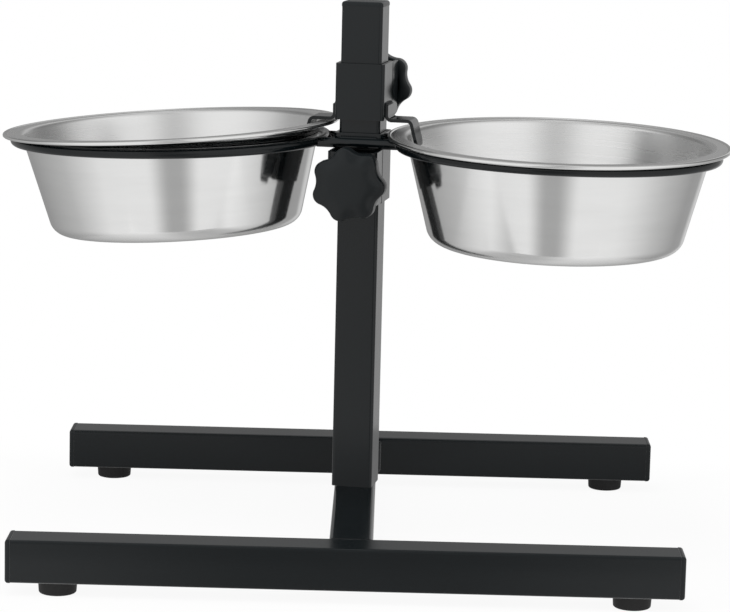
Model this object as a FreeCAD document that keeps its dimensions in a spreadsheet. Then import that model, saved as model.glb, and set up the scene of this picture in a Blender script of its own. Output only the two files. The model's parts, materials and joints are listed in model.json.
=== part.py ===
import FreeCAD
import Part
import math
import os
import Sketcher

# Raised stand for two steel dog bowls: an H of square tube on rubber feet, a post
# bolted to its middle, a sliding carrier with two hoops, and a sliding clamp whose
# hooks hold the bowl rims. Millimetres, +Z up, +X along the crossbars, front is -Y.

doc = FreeCAD.newDocument("DoubleBowlStand")
sheet = doc.addObject("Spreadsheet::Sheet", "Dim")

SIZES = {
    # Base of square tube
    "tube_width": 25.0,
    "tube_wall": 1.5,
    "tube_corner": 2.0,
    "bar_length": 380.0,
    "bar_spacing": 300.0,
    "front_bar_shift": -2.8,
    "rear_bar_shift": 1.4,
    "weld_leg": 3.0,
    # Plastic caps in the tube ends
    "cap_head": 3.0,
    "cap_overhang": 0.2,
    "cap_edge": 1.9,
    "cap_plug": 12.0,
    "cap_plug_wall": 2.0,
    "cap_clearance": 0.1,
    # Rubber feet and their screws
    "foot_height": 7.5,
    "foot_diameter": 22.5,
    "foot_draft": 0.5,
    "foot_edge": 1.2,
    "foot_inset": 26.0,
    "screw_diameter": 4.0,
    "screw_clearance": 0.15,
    "screw_length": 11.0,
    "screw_head_diameter": 8.0,
    "screw_head_height": 2.6,
    "foot_recess_clearance": 1.0,
    "foot_web": 3.0,
    # Post and the single bolt in its foot
    "post_length": 295.0,
    "post_setback": 6.0,
    "mast_angle": 9.9,
    "nut_plate_height": 10.0,
    "bolt_diameter": 8.0,
    "bolt_clearance": 0.05,
    "bolt_tip": 3.0,
    "bolt_flats": 13.0,
    "bolt_head_height": 4.6,
    "washer_diameter": 18.0,
    "washer_height": 1.4,
    # Sleeves that slide on the post
    "sleeve_clearance": 0.5,
    "sleeve_wall": 2.0,
    "sleeve_corner": 2.0,
    "carrier_height": 177.0,
    "carrier_length": 42.0,
    "clamp_length": 34.0,
    # Hoops of round bar, joined by two tie bars across the carrier
    "hoop_bar": 6.0,
    "hoop_clearance": 0.5,
    "rim_sleeve_gap": 1.6,
    "left_hoop_angle": 1.8,
    "right_hoop_angle": 0.9,
    "tie_drop": 5.8,
    "weld_clearance": 0.1,
    # Bent strap hooks on the clamp
    "hook_width": 20.0,
    "hook_thickness": 2.0,
    "hook_leg": 9.0,
    "hook_drop": 15.5,
    "hook_bend": 3.0,
    "hook_toe_round": 5.0,
    "hook_rim_clearance": 0.4,
    "hook_wall_clearance": 1.8,
    # Bent brackets that stand off the sleeves and hold the nuts
    "bracket_depth": 21.0,
    "bracket_sheet": 2.0,
    "bracket_bend": 3.0,
    "bracket_length": 32.0,
    "bracket_tie_gap": 0.5,
    # Threaded studs, weld nuts and star knobs
    "stud_diameter": 8.0,
    "stud_clearance": 0.05,
    "stud_hole_clearance": 0.4,
    "stud_post_gap": 0.3,
    "nut_flats": 13.0,
    "nut_height": 6.5,
    "knob_lobes": 7,
    "knob_diameter": 44.8,
    "knob_lobe_radius": 6.2,
    "knob_valley_depth": 3.0,
    "knob_thickness": 13.0,
    "knob_skirt": 10.6,
    "knob_crown_diameter": 22.0,
    "knob_bulge": 0.5,
    "knob_hollow_diameter": 30.0,
    "knob_hollow_depth": 7.0,
    "knob_hub_diameter": 15.0,
    "knob_cover": 3.0,
    "knob_clearance": 0.6,
    "carrier_knob_drop": 27.9,
    "carrier_knob_angle": -3.0,
    "clamp_knob_angle": -90.0,
    # Spun steel bowls
    "bowl_mouth_diameter": 184.0,
    "flange_width": 11.4,
    "rim_bead": 2.4,
    "bowl_base_diameter": 151.0,
    "bowl_depth": 64.4,
    "bowl_sheet": 0.8,
    "bowl_base_bend": 10.0,
    "bowl_rim_bend": 3.2,
    "flange_fall": 0.6,
    "seat_clearance": 0.3,
    "left_bowl_angle": 4.0,
    "right_bowl_angle": 0.9,
    "right_bowl_nod_angle": 1.4,
    # Every cut runs past the solid by this much
    "overrun": 1.0,
}

for row, (alias, number) in enumerate(SIZES.items(), start=1):
    sheet.set("A%d" % row, alias)
    sheet.set("B%d" % row, str(number))
    sheet.setAlias("B%d" % row, alias)
doc.recompute()

X_AXIS = FreeCAD.Vector(1, 0, 0)
Y_AXIS = FreeCAD.Vector(0, 1, 0)
Z_AXIS = FreeCAD.Vector(0, 0, 1)
NO_TURN = FreeCAD.Rotation()


def value(expression):
    """Number that an expression of sheet cells gives."""
    result = sheet.evalExpression(expression)
    return float(getattr(result, "Value", result))


def vector(x, y, z=0.0):
    return FreeCAD.Vector(x, y, z)


def plane(body, role):
    return next(part for part in body.Origin.OriginFeatures if part.Role == role)


def new_body(label):
    body = doc.addObject("PartDesign::Body", label)
    body.Label = label
    return body


def new_sketch(body, role, name, offset=None):
    """Sketch on one of the body's origin planes, shifted along its normal."""
    sketch = body.newObject("Sketcher::SketchObject", body.Name + "_" + name)
    sketch.AttachmentSupport = (plane(body, role), [""])
    sketch.MapMode = "FlatFace"
    if offset is not None:
        sketch.setExpression("AttachmentOffset.Base.z", offset)
    return sketch


def bind(sketch, constraint, name, expression):
    index = sketch.addConstraint(constraint)
    sketch.renameConstraint(index, name)
    sketch.setExpression("Constraints." + name, expression)


def rectangle(sketch, width, height, name):
    """Rectangle about the sketch origin with its sides bound to the sheet."""
    half_x = value(width) / 2
    half_y = value(height) / 2
    signs = [(-1, -1), (1, -1), (1, 1), (-1, 1)]
    points = [vector(half_x * sx, half_y * sy) for sx, sy in signs]
    first = sketch.GeometryCount
    for i in range(4):
        sketch.addGeometry(Part.LineSegment(points[i], points[(i + 1) % 4]))
    for i in range(4):
        sketch.addConstraint(Sketcher.Constraint("Coincident", first + i, 2, first + (i + 1) % 4, 1))
        direction = "Vertical" if i % 2 else "Horizontal"
        sketch.addConstraint(Sketcher.Constraint(direction, first + i))
    sketch.addConstraint(Sketcher.Constraint("Symmetric", first, 1, first + 1, 2, -1, 1))
    bind(sketch, Sketcher.Constraint("DistanceX", first, 1, first, 2, 2 * half_x), name + "_x", width)
    bind(sketch, Sketcher.Constraint("DistanceY", first + 1, 1, first + 1, 2, 2 * half_y), name + "_y", height)


def circle(sketch, diameter, name, along=None):
    """Circle on the sketch's vertical axis, at a height from the origin if one is given."""
    height = value(along) if along is not None else 0.0
    index = sketch.addGeometry(Part.Circle(vector(0, height), Z_AXIS, value(diameter) / 2))
    bind(sketch, Sketcher.Constraint("Diameter", index, value(diameter)), name + "_diameter", diameter)
    if along is None:
        sketch.addConstraint(Sketcher.Constraint("Coincident", index, 3, -1, 1))
        return
    sketch.addConstraint(Sketcher.Constraint("PointOnObject", index, 3, -2))
    bind(sketch, Sketcher.Constraint("DistanceY", -1, 1, index, 3, height), name + "_height", along)


def pad(body, sketch, length, name, symmetric=False):
    feature = body.newObject("PartDesign::Pad", body.Name + "_" + name)
    feature.Profile = sketch
    feature.setExpression("Length", length)
    if symmetric:
        feature.SideType = "Symmetric"
    doc.recompute()
    return feature


def pocket(body, sketch, name, length=None, along_normal=True, both_ways=False):
    """Cut along the sketch's normal, against it, or both ways, by a length or right through."""
    feature = body.newObject("PartDesign::Pocket", body.Name + "_" + name)
    feature.Profile = sketch
    feature.Reversed = along_normal
    if length is None:
        feature.Type = "ThroughAll"
    else:
        feature.setExpression("Length", length)
    if both_ways:
        feature.SideType = "Symmetric"
    before = body.Shape.Volume
    doc.recompute()
    if not body.Shape.Volume < before:
        raise RuntimeError(feature.Name + " cuts nothing")
    return feature


def revolve(body, sketch, name, groove=False):
    kind = "PartDesign::Groove" if groove else "PartDesign::Revolution"
    feature = body.newObject(kind, body.Name + "_" + name)
    feature.Profile = sketch
    feature.ReferenceAxis = (sketch, ["V_Axis"])
    doc.recompute()
    return feature


def fillet(body, base, radius, name, chosen):
    """Round the edges of the base feature for which chosen(edge) holds."""
    edges = base.Shape.Edges
    names = ["Edge%d" % (i + 1) for i, edge in enumerate(edges) if chosen(edge)]
    feature = body.newObject("PartDesign::Fillet", body.Name + "_" + name)
    feature.Base = (base, names)
    feature.setExpression("Radius", radius)
    doc.recompute()
    return feature


def along_z(edge):
    direction = edge.Vertexes[-1].Point - edge.Vertexes[0].Point
    return direction.Length > 0 and abs(direction.z) > direction.Length * 0.999


def unit(a, b):
    step = b - a
    return step / step.Length


def rounded_loop(points, radii):
    """Closed outline through corner points, with each corner rounded by its own radius."""
    count = len(points)
    pieces = []
    ends = []
    for i in range(count):
        corner = points[i]
        to_last = unit(corner, points[i - 1])
        to_next = unit(corner, points[(i + 1) % count])
        if radii[i] == 0:
            ends.append((corner, corner, None))
            continue
        half = to_last.getAngle(to_next) / 2
        run = radii[i] / math.tan(half)
        inward = (to_last + to_next) / (to_last + to_next).Length
        middle = corner + inward * (radii[i] / math.sin(half) - radii[i])
        ends.append((corner + to_last * run, corner + to_next * run, middle))
    for i in range(count):
        start, finish, middle = ends[i]
        if middle is not None:
            pieces.append(Part.Arc(start, middle, finish))
        following = ends[(i + 1) % count][0]
        pieces.append(Part.LineSegment(finish, following))
    return pieces


def bent_strip(points, bends, thickness):
    """Outline of sheet bent along a centre line, with concentric bends at its inner points."""
    left = []
    right = []
    left_radii = []
    right_radii = []
    half = thickness / 2
    count = len(points)
    for i in range(count):
        if i == 0 or i == count - 1:
            step = unit(points[0], points[1]) if i == 0 else unit(points[-2], points[-1])
            side = vector(-step.y, step.x)
            left.append(points[i] + side * half)
            right.append(points[i] - side * half)
            left_radii.append(0.0)
            right_radii.append(0.0)
            continue
        before = unit(points[i - 1], points[i])
        after = unit(points[i], points[i + 1])
        turn = before.x * after.y - before.y * after.x
        mitre = vector(-before.y - after.y, before.x + after.x)
        mitre = mitre / mitre.Length
        reach = half / (mitre.x * -before.y + mitre.y * before.x)
        left.append(points[i] + mitre * reach)
        right.append(points[i] - mitre * reach)
        inner = bends[i] - half
        outer = bends[i] + half
        left_radii.append(inner if turn > 0 else outer)
        right_radii.append(outer if turn > 0 else inner)
    return rounded_loop(left + right[::-1], left_radii + right_radii[::-1])


def draw(sketch, pieces):
    for piece in pieces:
        sketch.addGeometry(piece)


def in_frame(frame, base, rotation=NO_TURN):
    return frame.multiply(FreeCAD.Placement(base, rotation))


# Places that several pieces share
base_top = value("Dim.foot_height + Dim.tube_width")
bar_level = value("Dim.foot_height + Dim.tube_width / 2")
bar_half = value("Dim.bar_spacing / 2")
tube_half = value("Dim.tube_width / 2")
SLEEVE_WIDTH = "(Dim.tube_width + 2 * Dim.sleeve_clearance + 2 * Dim.sleeve_wall)"
HOOP_DIAMETER = "(Dim.bowl_mouth_diameter + 2 * Dim.hoop_clearance + Dim.hoop_bar)"
RIM_DIAMETER = "(Dim.bowl_mouth_diameter + 2 * Dim.flange_width)"
HOOP_OFFSET = "(%s / 2 + Dim.rim_sleeve_gap + %s / 2)" % (SLEEVE_WIDTH, RIM_DIAMETER)
sleeve_half = value(SLEEVE_WIDTH + " / 2")
hoop_offset = value(HOOP_OFFSET)
carrier_low = base_top + value("Dim.carrier_height")
carrier_top = carrier_low + value("Dim.carrier_length")
tie_level = carrier_top - value("Dim.tie_drop")
bar_rows = {"front": (-bar_half, value("Dim.front_bar_shift")), "rear": (bar_half, value("Dim.rear_bar_shift"))}
sides = {"left": -1, "right": 1}
world = FreeCAD.Placement()
mast = FreeCAD.Placement(vector(0, value("Dim.post_setback"), 0), FreeCAD.Rotation(Z_AXIS, -value("Dim.mast_angle")))
along_x = FreeCAD.Rotation(Y_AXIS, 90)
along_y = FreeCAD.Rotation(X_AXIS, -90)


def square_tube(label, width, wall, corner, length):
    """Square tube standing on the XY plane, with rounded outer corners."""
    body = new_body(label)
    outside = new_sketch(body, "XY_Plane", "outside")
    rectangle(outside, width, width, "outside")
    stock = pad(body, outside, length, "stock")
    fillet(body, stock, corner, "corners", along_z)
    inside = new_sketch(body, "XY_Plane", "inside")
    bore = "%s - 2 * %s" % (width, wall)
    rectangle(inside, bore, bore, "inside")
    pocket(body, inside, "bore")
    return body


# Crossbars with their screw holes underneath
for end, (depth, shift) in bar_rows.items():
    bar = square_tube(end + "_crossbar", "Dim.tube_width", "Dim.tube_wall", "Dim.tube_corner", "Dim.bar_length")
    holes = new_sketch(bar, "YZ_Plane", "screw_holes")
    hole = "Dim.screw_diameter + 2 * Dim.screw_clearance"
    circle(holes, hole, "first", "Dim.foot_inset")
    circle(holes, hole, "second", "Dim.bar_length - Dim.foot_inset")
    pocket(bar, holes, "screw_cut", "Dim.tube_width / 2 + Dim.overrun")
    bar.Placement = in_frame(world, vector(shift - value("Dim.bar_length / 2"), depth, bar_level), along_x)

# Connecting bar between the crossbars, drilled under the post
connector_length = "Dim.bar_spacing - Dim.tube_width"
connector = square_tube("connecting_bar", "Dim.tube_width", "Dim.tube_wall", "Dim.tube_corner", connector_length)
drilled = new_sketch(connector, "XZ_Plane", "bolt_hole")
bolt_hole = "Dim.bolt_diameter + 2 * Dim.bolt_clearance"
circle(drilled, bolt_hole, "bolt", "(%s) / 2 + Dim.post_setback" % connector_length)
pocket(connector, drilled, "bolt_cut", "Dim.tube_width + 2 * Dim.overrun", both_ways=True)
connector.Placement = in_frame(world, vector(0, -value(connector_length) / 2, bar_level), along_y)

# Weld fillets up both sides of each joint of the H
for end, (depth, shift) in bar_rows.items():
    inward = -1 if end == "rear" else 1
    beads = []
    for name, side in sides.items():
        bead = doc.addObject("Part::Wedge", "%s_weld_%s" % (end, name))
        for low in ("Xmin", "Ymin", "Zmin", "X2min", "Z2min"):
            setattr(bead, low, 0)
        bead.setExpression("Xmax", "Dim.weld_leg")
        bead.setExpression("Ymax", "Dim.weld_leg")
        bead.setExpression("Zmax", "Dim.tube_width - 2 * Dim.tube_corner")
        bead.X2max = 0
        bead.setExpression("Z2max", "Dim.tube_width - 2 * Dim.tube_corner")
        turn = FreeCAD.Rotation(Z_AXIS, math.degrees(math.atan2(inward, side)) - 45)
        bead_foot = value("Dim.foot_height + Dim.tube_corner")
        bead.Placement = in_frame(world, vector(side * tube_half, depth + inward * tube_half, bead_foot), turn)
        beads.append(bead)
    welds = doc.addObject("Part::Compound", end + "_welds")
    welds.Links = beads


def tube_cap(label, placement):
    """Plug with a pillowed head a little wider than the tube and a hollow skirt inside the bore."""
    body = new_body(label)
    head = new_sketch(body, "XY_Plane", "head")
    head_width = "Dim.tube_width + 2 * Dim.cap_overhang"
    rectangle(head, head_width, head_width, "head")
    stock = pad(body, head, "Dim.cap_head", "head_pad")
    corners = fillet(body, stock, "Dim.tube_corner", "head_corners", along_z)
    top = value("Dim.cap_head")
    pillow = fillet(body, corners, "Dim.cap_edge", "head_edge",
                    lambda edge: all(abs(v.Point.z - top) < top / 100 for v in edge.Vertexes))
    bore = "Dim.tube_width - 2 * Dim.tube_wall - 2 * Dim.cap_clearance"
    skirt = new_sketch(body, "XY_Plane", "skirt")
    rectangle(skirt, bore, bore, "skirt")
    plug = pad(body, skirt, "Dim.cap_plug", "skirt_pad")
    plug.Reversed = True
    doc.recompute()
    hollow = new_sketch(body, "XY_Plane", "hollow")
    inner = bore + " - 2 * Dim.cap_plug_wall"
    rectangle(hollow, inner, inner, "hollow")
    pocket(body, hollow, "hollow_cut", "Dim.cap_plug + Dim.overrun", along_normal=False)
    body.Placement = placement
    return body


for end, (depth, shift) in bar_rows.items():
    for name, side in sides.items():
        spot = vector(shift + side * value("Dim.bar_length / 2"), depth, bar_level)
        tube_cap("cap_%s_%s" % (end, name), in_frame(world, spot, FreeCAD.Rotation(Y_AXIS, 90 * side)))
tube_cap("post_cap", in_frame(mast, vector(0, 0, base_top + value("Dim.post_length"))))

# Rubber feet, dished underneath for the screw heads
foot_spots = {}
for end, (depth, shift) in bar_rows.items():
    for name, side in sides.items():
        across = shift + side * value("Dim.bar_length / 2 - Dim.foot_inset")
        foot_spots["foot_%s_%s" % (end, name)] = vector(across, depth, 0)
screw_hole = value("Dim.screw_diameter / 2 + Dim.screw_clearance")
recess_top = value("Dim.foot_height - Dim.foot_web")
foot_recess = value("Dim.screw_head_diameter / 2 + Dim.foot_recess_clearance")
for label, spot in foot_spots.items():
    foot = new_body(label)
    section = new_sketch(foot, "XZ_Plane", "section")
    outline = [
        vector(screw_hole, value("Dim.foot_height")),
        vector(screw_hole, recess_top),
        vector(foot_recess, recess_top),
        vector(foot_recess, 0),
        vector(value("Dim.foot_diameter / 2 - Dim.foot_draft"), 0),
        vector(value("Dim.foot_diameter / 2"), value("Dim.foot_height")),
    ]
    draw(section, rounded_loop(outline, [0, 0, 0, 0, value("Dim.foot_edge"), 0]))
    revolve(foot, section, "moulding")
    foot.Placement = in_frame(world, spot)

# One screw up through each foot into the crossbar
screws = []
for label, spot in foot_spots.items():
    shank = doc.addObject("Part::Cylinder", label + "_shank")
    shank.setExpression("Radius", "Dim.screw_diameter / 2")
    shank.setExpression("Height", "Dim.screw_length")
    head = doc.addObject("Part::Cylinder", label + "_head")
    head.setExpression("Radius", "Dim.screw_head_diameter / 2")
    head.setExpression("Height", "Dim.screw_head_height")
    head.setExpression("Placement.Base.z", "-Dim.screw_head_height")
    screw = doc.addObject("Part::Fuse", label + "_screw")
    screw.Base = shank
    screw.Tool = head
    screw.Placement = in_frame(world, spot + Z_AXIS * recess_top)
    screws.append(screw)
foot_screws = doc.addObject("Part::Compound", "foot_screws")
foot_screws.Links = screws

# Post, its nut plate and the bolt from below
post = square_tube("post", "Dim.tube_width", "Dim.tube_wall", "Dim.tube_corner", "Dim.post_length")
post.Placement = in_frame(mast, vector(0, 0, base_top))

nut_plate = new_body("post_nut_plate")
plate = new_sketch(nut_plate, "XY_Plane", "plate")
plate_width = "Dim.tube_width - 2 * Dim.tube_wall - 2 * Dim.cap_clearance"
rectangle(plate, plate_width, plate_width, "plate")
circle(plate, bolt_hole, "thread")
pad(nut_plate, plate, "Dim.nut_plate_height", "plate_pad")
nut_plate.Placement = in_frame(mast, vector(0, 0, base_top))

washer = new_body("mast_washer")
ring = new_sketch(washer, "XY_Plane", "ring")
circle(ring, "Dim.washer_diameter", "rim")
circle(ring, bolt_hole, "bore")
pad(washer, ring, "Dim.washer_height", "ring_pad")
washer_low = value("Dim.foot_height - Dim.washer_height")
washer.Placement = in_frame(mast, vector(0, 0, washer_low))

bolt_shank = doc.addObject("Part::Cylinder", "mast_bolt_shank")
bolt_shank.setExpression("Radius", "Dim.bolt_diameter / 2")
bolt_run = "Dim.washer_height + Dim.tube_width + Dim.nut_plate_height + Dim.bolt_tip"
bolt_shank.setExpression("Height", bolt_run)
bolt_head = doc.addObject("Part::Prism", "mast_bolt_head")
bolt_head.Polygon = 6
bolt_head.setExpression("Circumradius", "Dim.bolt_flats / sqrt(3)")
bolt_head.setExpression("Height", "Dim.bolt_head_height")
bolt_head.setExpression("Placement.Base.z", "-Dim.bolt_head_height")
bolt = doc.addObject("Part::Fuse", "mast_bolt")
bolt.Base = bolt_shank
bolt.Tool = bolt_head
bolt.Placement = in_frame(mast, vector(0, 0, washer_low))

# Carrier sleeve with a hole in front for the clamping stud
stud_hole = "Dim.stud_diameter + 2 * Dim.stud_hole_clearance"
carrier = square_tube("carrier_sleeve", SLEEVE_WIDTH, "Dim.sleeve_wall", "Dim.sleeve_corner", "Dim.carrier_length")
carrier_hole = new_sketch(carrier, "XZ_Plane", "stud_hole")
circle(carrier_hole, stud_hole, "stud", "Dim.carrier_length - Dim.carrier_knob_drop")
pocket(carrier, carrier_hole, "stud_cut", SLEEVE_WIDTH + " / 2 + Dim.overrun")
carrier.Placement = in_frame(mast, vector(0, 0, carrier_low))

# Hoops, each hanging a little from the tie bars, and the coped tie bars between them
hoop_radius = value(HOOP_DIAMETER) / 2
tie_depth = sleeve_half + value("Dim.hoop_bar / 2")
weld_reach = math.sqrt(hoop_radius ** 2 - tie_depth ** 2)
tie_half = hoop_offset - weld_reach
hoop_frames = {}
for name, side in sides.items():
    droop = value("Dim.%s_hoop_angle" % name)
    pivot = in_frame(mast, vector(side * tie_half, 0, tie_level), FreeCAD.Rotation(Y_AXIS, side * droop))
    hoop_frames[name] = in_frame(pivot, vector(side * weld_reach, 0, 0))
    hoop = doc.addObject("Part::Torus", name + "_hoop")
    hoop.setExpression("Radius1", HOOP_DIAMETER + " / 2")
    hoop.setExpression("Radius2", "Dim.hoop_bar / 2")
    hoop.Placement = hoop_frames[name]

for name, side in (("front", -1), ("rear", 1)):
    rod = doc.addObject("Part::Cylinder", name + "_tie_rod")
    rod.setExpression("Radius", "Dim.hoop_bar / 2")
    rod.Height = 2 * tie_half - value("Dim.hoop_bar / 2")
    rod.Placement = in_frame(mast, vector(-rod.Height.Value / 2, side * tie_depth, tie_level), along_x)
    copes = []
    for hoop_name, frame in hoop_frames.items():
        cope = doc.addObject("Part::Torus", "%s_tie_cope_%s" % (name, hoop_name))
        cope.setExpression("Radius1", HOOP_DIAMETER + " / 2")
        cope.setExpression("Radius2", "Dim.hoop_bar / 2 + Dim.weld_clearance")
        cope.Placement = frame
        copes.append(cope)
    first_cut = doc.addObject("Part::Cut", name + "_tie_half")
    first_cut.Base = rod
    first_cut.Tool = copes[0]
    tie = doc.addObject("Part::Cut", name + "_tie_bar")
    tie.Base = first_cut
    tie.Tool = copes[1]

# Bowls: one section of spun sheet with a rolled bead, hung by the flange on the hoop
sheet_gauge = value("Dim.bowl_sheet")
bead_radius = value("Dim.rim_bead / 2")
rim_radius = value(RIM_DIAMETER) / 2
mouth_radius = value("Dim.bowl_mouth_diameter / 2")
bead_centre = rim_radius - bead_radius
floor_line = -value("Dim.bowl_depth") + sheet_gauge / 2
flange_line = -sheet_gauge / 2
bowl_line = [
    vector(0, floor_line),
    vector(value("Dim.bowl_base_diameter / 2"), floor_line),
    vector(mouth_radius, flange_line),
    vector(bead_centre, flange_line - value("Dim.flange_fall")),
]
bowl_bends = [0, value("Dim.bowl_base_bend"), value("Dim.bowl_rim_bend"), 0]
seat_rise = value("Dim.hoop_bar / 2 + Dim.seat_clearance + Dim.bowl_sheet + Dim.flange_fall / 2")
leans = {
    "left": (value("Dim.left_bowl_angle"), 0.0),
    "right": (value("Dim.right_bowl_angle"), value("Dim.right_bowl_nod_angle")),
}
rim_top = carrier_top
for name, side in sides.items():
    bowl = new_body(name + "_bowl")
    section = new_sketch(bowl, "XZ_Plane", "section")
    draw(section, bent_strip(bowl_line, bowl_bends, sheet_gauge))
    revolve(bowl, section, "spun_sheet")
    rim = new_sketch(bowl, "XZ_Plane", "rim")
    rim.addGeometry(Part.Circle(vector(bead_centre, -bead_radius), Z_AXIS, bead_radius))
    revolve(bowl, rim, "rolled_bead")
    lean, nod = [math.radians(angle) for angle in leans[name]]
    droop = math.radians(value("Dim.%s_hoop_angle" % name))
    tip = hoop_radius * (max(math.sin(lean) - math.sin(droop), 0) + math.sin(nod))
    hoop_centre = mast.inverse().multVec(hoop_frames[name].Base)
    rest = vector(side * hoop_offset, 0, hoop_centre.z + seat_rise + tip)
    tilt = FreeCAD.Rotation(Y_AXIS, side * leans[name][0]).multiply(FreeCAD.Rotation(X_AXIS, leans[name][1]))
    bowl.Placement = in_frame(mast, rest, tilt)
    rim_top = max(rim_top, rest.z + rim_radius * math.sin(lean))

# Clamp sleeve above the carrier, as low as its hooks over the rims let it sit, drilled behind
clamp_low = rim_top + value("Dim.hook_rim_clearance + Dim.hook_thickness / 2")
clamp = square_tube("clamp_sleeve", SLEEVE_WIDTH, "Dim.sleeve_wall", "Dim.sleeve_corner", "Dim.clamp_length")
clamp_hole = new_sketch(clamp, "XZ_Plane", "stud_hole")
circle(clamp_hole, stud_hole, "stud", "Dim.clamp_length / 2")
pocket(clamp, clamp_hole, "stud_cut", SLEEVE_WIDTH + " / 2 + Dim.overrun", along_normal=False)
clamp.Placement = in_frame(mast, vector(0, 0, clamp_low))

# Strap hooks: welded leg on the sleeve, a step out over the rim, a leg down inside the bowl
strap = value("Dim.hook_thickness")
leg_x = sleeve_half + strap / 2
step_x = hoop_offset - mouth_radius + strap / 2 + value("Dim.hook_wall_clearance")
drop = value("Dim.hook_drop")
wall_taper = (mouth_radius - value("Dim.bowl_base_diameter / 2")) / (flange_line - floor_line)
toe_x = step_x + drop * wall_taper
bend = value("Dim.hook_bend")
strap_line = [vector(leg_x, value("Dim.hook_leg")), vector(leg_x, 0), vector(step_x, 0), vector(toe_x, -drop)]


def toe_corner(edge):
    across = abs(edge.Vertexes[-1].Point.y - edge.Vertexes[0].Point.y)
    return across < strap / 2 and all(v.Point.z < strap - drop for v in edge.Vertexes) and edge.Length < 2 * strap


for name, side in sides.items():
    hook = new_body(name + "_hook")
    outline = new_sketch(hook, "XZ_Plane", "outline")
    line = [vector(side * point.x, point.y) for point in strap_line]
    draw(outline, bent_strip(line, [0, bend, bend, 0], strap))
    blank = pad(hook, outline, "Dim.hook_width", "strap", symmetric=True)
    fillet(hook, blank, "Dim.hook_toe_round", "toe", toe_corner)
    hook.Placement = in_frame(mast, vector(0, 0, clamp_low))


def weld_nut(label, frame):
    """Hexagon nut with its seat on the frame's XY plane."""
    prism = doc.addObject("Part::Prism", label + "_hexagon")
    prism.Polygon = 6
    prism.setExpression("Circumradius", "Dim.nut_flats / sqrt(3)")
    prism.setExpression("Height", "Dim.nut_height")
    thread = doc.addObject("Part::Cylinder", label + "_thread")
    thread.setExpression("Radius", "Dim.stud_diameter / 2 + Dim.stud_clearance")
    thread.setExpression("Height", "Dim.nut_height + 2 * Dim.overrun")
    thread.setExpression("Placement.Base.z", "-Dim.overrun")
    nut = doc.addObject("Part::Cut", label)
    nut.Base = prism
    nut.Tool = thread
    nut.Placement = frame


def star_outline(diameter):
    """Lobes and shallow valleys as one chain of tangent arcs."""
    tip = diameter / 2
    lobe = value("Dim.knob_lobe_radius")
    valley_floor = tip - value("Dim.knob_valley_depth")
    lobes = int(value("Dim.knob_lobes"))
    lobe_out = tip - lobe
    half_pitch = math.pi / lobes
    cosine = math.cos(half_pitch)
    spread = lobe_out ** 2 + valley_floor ** 2 - 2 * lobe_out * valley_floor * cosine - lobe ** 2
    valley = spread / (2 * (lobe + lobe_out * cosine - valley_floor))
    valley_out = valley_floor + valley

    def polar(radius, angle):
        return vector(radius * math.cos(angle), radius * math.sin(angle))

    pieces = []
    for i in range(lobes):
        angle = 2 * half_pitch * i
        centre = polar(lobe_out, angle)
        before = polar(valley_out, angle - half_pitch)
        after = polar(valley_out, angle + half_pitch)
        follower = polar(lobe_out, angle + 2 * half_pitch)
        start = centre + unit(centre, before) * lobe
        finish = centre + unit(centre, after) * lobe
        onward = follower + unit(follower, after) * lobe
        pieces.append(Part.Arc(start, polar(tip, angle), finish))
        pieces.append(Part.Arc(finish, polar(valley_floor, angle + half_pitch), onward))
    return pieces


def star_knob(label, diameter, frame):
    """Lobed grip with a crowned face and a hollow back round the hub of its stud."""
    body = new_body(label)
    star = new_sketch(body, "XY_Plane", "star")
    draw(star, star_outline(value(diameter)))
    pad(body, star, "Dim.knob_thickness", "grip")
    outside = value(diameter) / 2 + value("Dim.overrun")
    skirt = value("Dim.knob_skirt")
    thick = value("Dim.knob_thickness")
    crown = value("Dim.knob_crown_diameter / 2")
    above = thick + value("Dim.overrun")
    slope_out = vector(value(diameter) / 2, skirt)
    slope_in = vector(crown, thick)
    chord = unit(slope_out, slope_in)
    middle = (slope_out + slope_in) / 2 + vector(chord.y, -chord.x) * value("Dim.knob_bulge")
    shape = new_sketch(body, "XZ_Plane", "crown")
    corners = [slope_in, vector(crown, above), vector(outside, above), vector(outside, skirt), slope_out]
    draw(shape, [Part.LineSegment(a, b) for a, b in zip(corners, corners[1:])])
    draw(shape, [Part.Arc(slope_out, middle, slope_in)])
    revolve(body, shape, "crown_cut", groove=True)
    hollow = new_sketch(body, "XY_Plane", "hollow")
    circle(hollow, "Dim.knob_hollow_diameter", "hollow")
    circle(hollow, "Dim.knob_hub_diameter", "hub")
    pocket(body, hollow, "hollow_cut", "Dim.knob_hollow_depth")
    socket = new_sketch(body, "XY_Plane", "socket")
    circle(socket, "Dim.stud_diameter + 2 * Dim.stud_clearance", "socket")
    pocket(body, socket, "socket_cut", "Dim.knob_thickness - Dim.knob_cover")
    body.Placement = frame


def stud(label, length, frame):
    rod = doc.addObject("Part::Cylinder", label)
    rod.setExpression("Radius", "Dim.stud_diameter / 2")
    rod.Height = length
    rod.Placement = frame


def nut_bracket(label, outward, low, rise):
    """Strap bent to a U, its legs on the sleeve's face and its web drilled for the stud at a rise."""
    body = new_body(label)
    outline = new_sketch(body, "XY_Plane", "outline")
    strip = value("Dim.bracket_sheet")
    leg = sleeve_half - strip / 2
    web = sleeve_half + value("Dim.bracket_depth") - strip / 2
    line = [vector(-leg, outward * sleeve_half), vector(-leg, outward * web)]
    line += [vector(-point.x, point.y) for point in reversed(line)]
    bend_radius = value("Dim.bracket_bend")
    draw(outline, bent_strip(line, [0, bend_radius, bend_radius, 0], strip))
    pad(body, outline, "Dim.bracket_length", "strap")
    drilled = new_sketch(body, "XZ_Plane", "stud_hole")
    circle(drilled, stud_hole, "stud", rise)
    web_cut = SLEEVE_WIDTH + " / 2 + Dim.bracket_depth + Dim.overrun"
    pocket(body, drilled, "stud_cut", web_cut, along_normal=outward < 0)
    body.Placement = in_frame(mast, vector(0, 0, low))


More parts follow.
